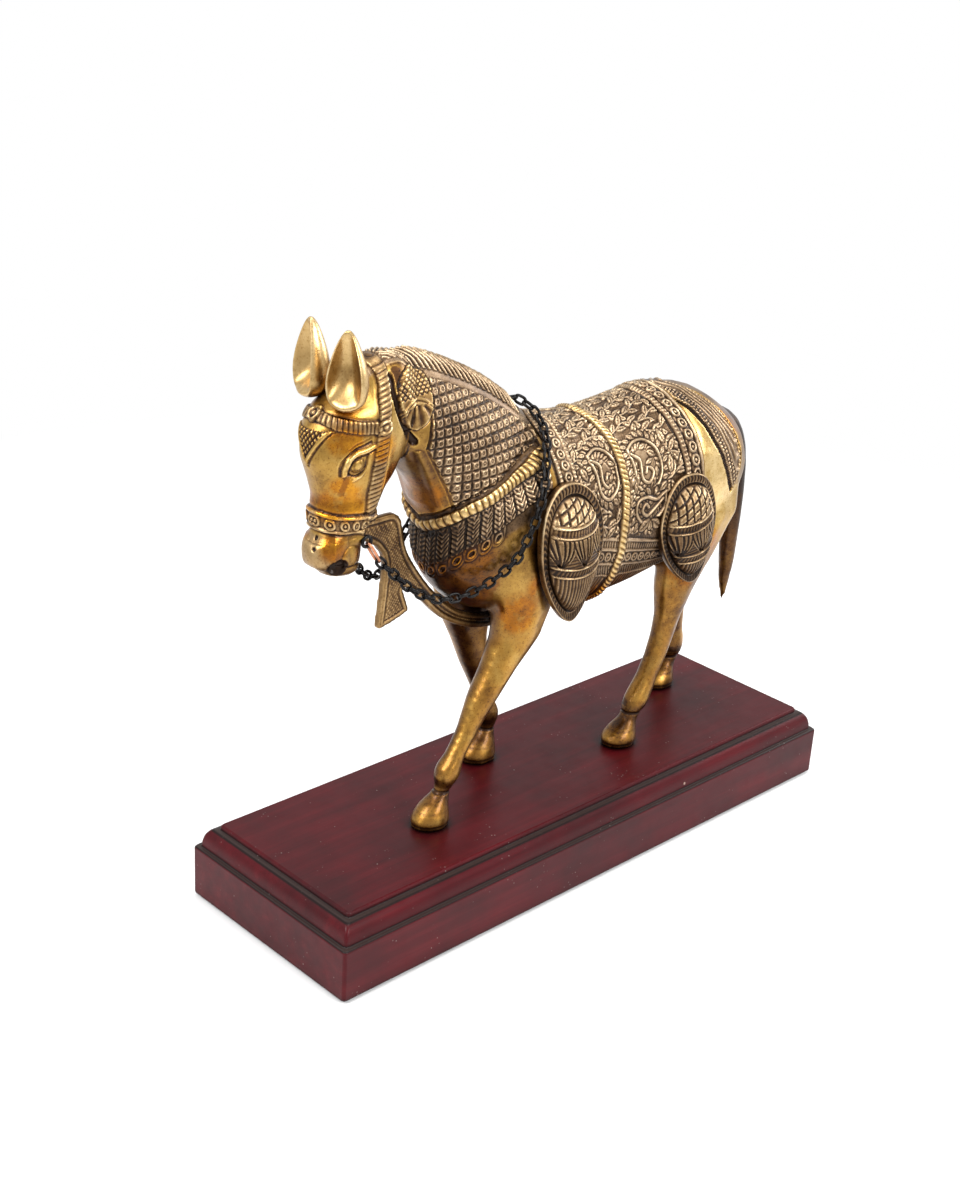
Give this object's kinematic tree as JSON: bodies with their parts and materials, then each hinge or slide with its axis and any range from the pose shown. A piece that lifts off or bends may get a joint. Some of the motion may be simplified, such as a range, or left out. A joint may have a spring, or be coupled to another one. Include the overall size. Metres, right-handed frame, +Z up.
{
  "type": "horse figurine",
  "caption": "Brass walking horse with a chased caparison, cupped ears and a loose rein chain, standing on a moulded dark wooden base.",
  "frame": {"origin": "middle of the underside of the felt pad", "axes": "+X the way the horse walks, along the base; +Y the horse's left side; +Z up"},
  "size_m": [0.305, 0.102, 0.2615],
  "materials": {
    "brass": "antique, rubbed",
    "chain": "black, semi-gloss",
    "copper": "bare copper wire",
    "steel": "plain",
    "wood": "satin lacquer",
    "felt": "felt"
  },
  "bodies": {
    "horse_on_base": {"body_casting": "brass", "head_casting": "brass", "left_foreleg": "brass", "right_foreleg": "brass", "left_hind_leg": "brass", "right_hind_leg": "brass", "tail": "brass", "left_ear": "brass", "right_ear": "brass", "left_fore_pad": "brass", "left_hind_pad": "brass", "right_fore_pad": "brass", "right_hind_pad": "brass", "martingale_plate": "brass", "base_board": "wood", "felt_pad": "felt", "left_foreleg_screw": "steel", "left_foreleg_washer": "steel", "right_foreleg_screw": "steel", "right_foreleg_washer": "steel", "left_hind_leg_screw": "steel", "left_hind_leg_washer": "steel", "right_hind_leg_screw": "steel", "right_hind_leg_washer": "steel", "neck_chain": "chain"},
    "left_rein": {"left_rein_span": "chain", "left_end_link": "copper", "left_bit_ring": "chain"},
    "right_rein": {"right_rein_span": "chain", "right_end_link": "copper", "right_bit_ring": "chain"}
  },
  "joints": [
    {"name": "left_rein_swing", "type": "hinge", "parent": "horse_on_base", "child": "left_rein", "pos_m": [0.04438, 0.02415, 0.15583], "axis": [0.9284, -0.2342, 0.2887], "range_deg": [-4, 25]},
    {"name": "right_rein_swing", "type": "hinge", "parent": "horse_on_base", "child": "right_rein", "pos_m": [0.1115, -0.01324, 0.1767], "axis": [-0.9688, -0.2317, -0.0881], "range_deg": [-4, 25]}
  ]
}
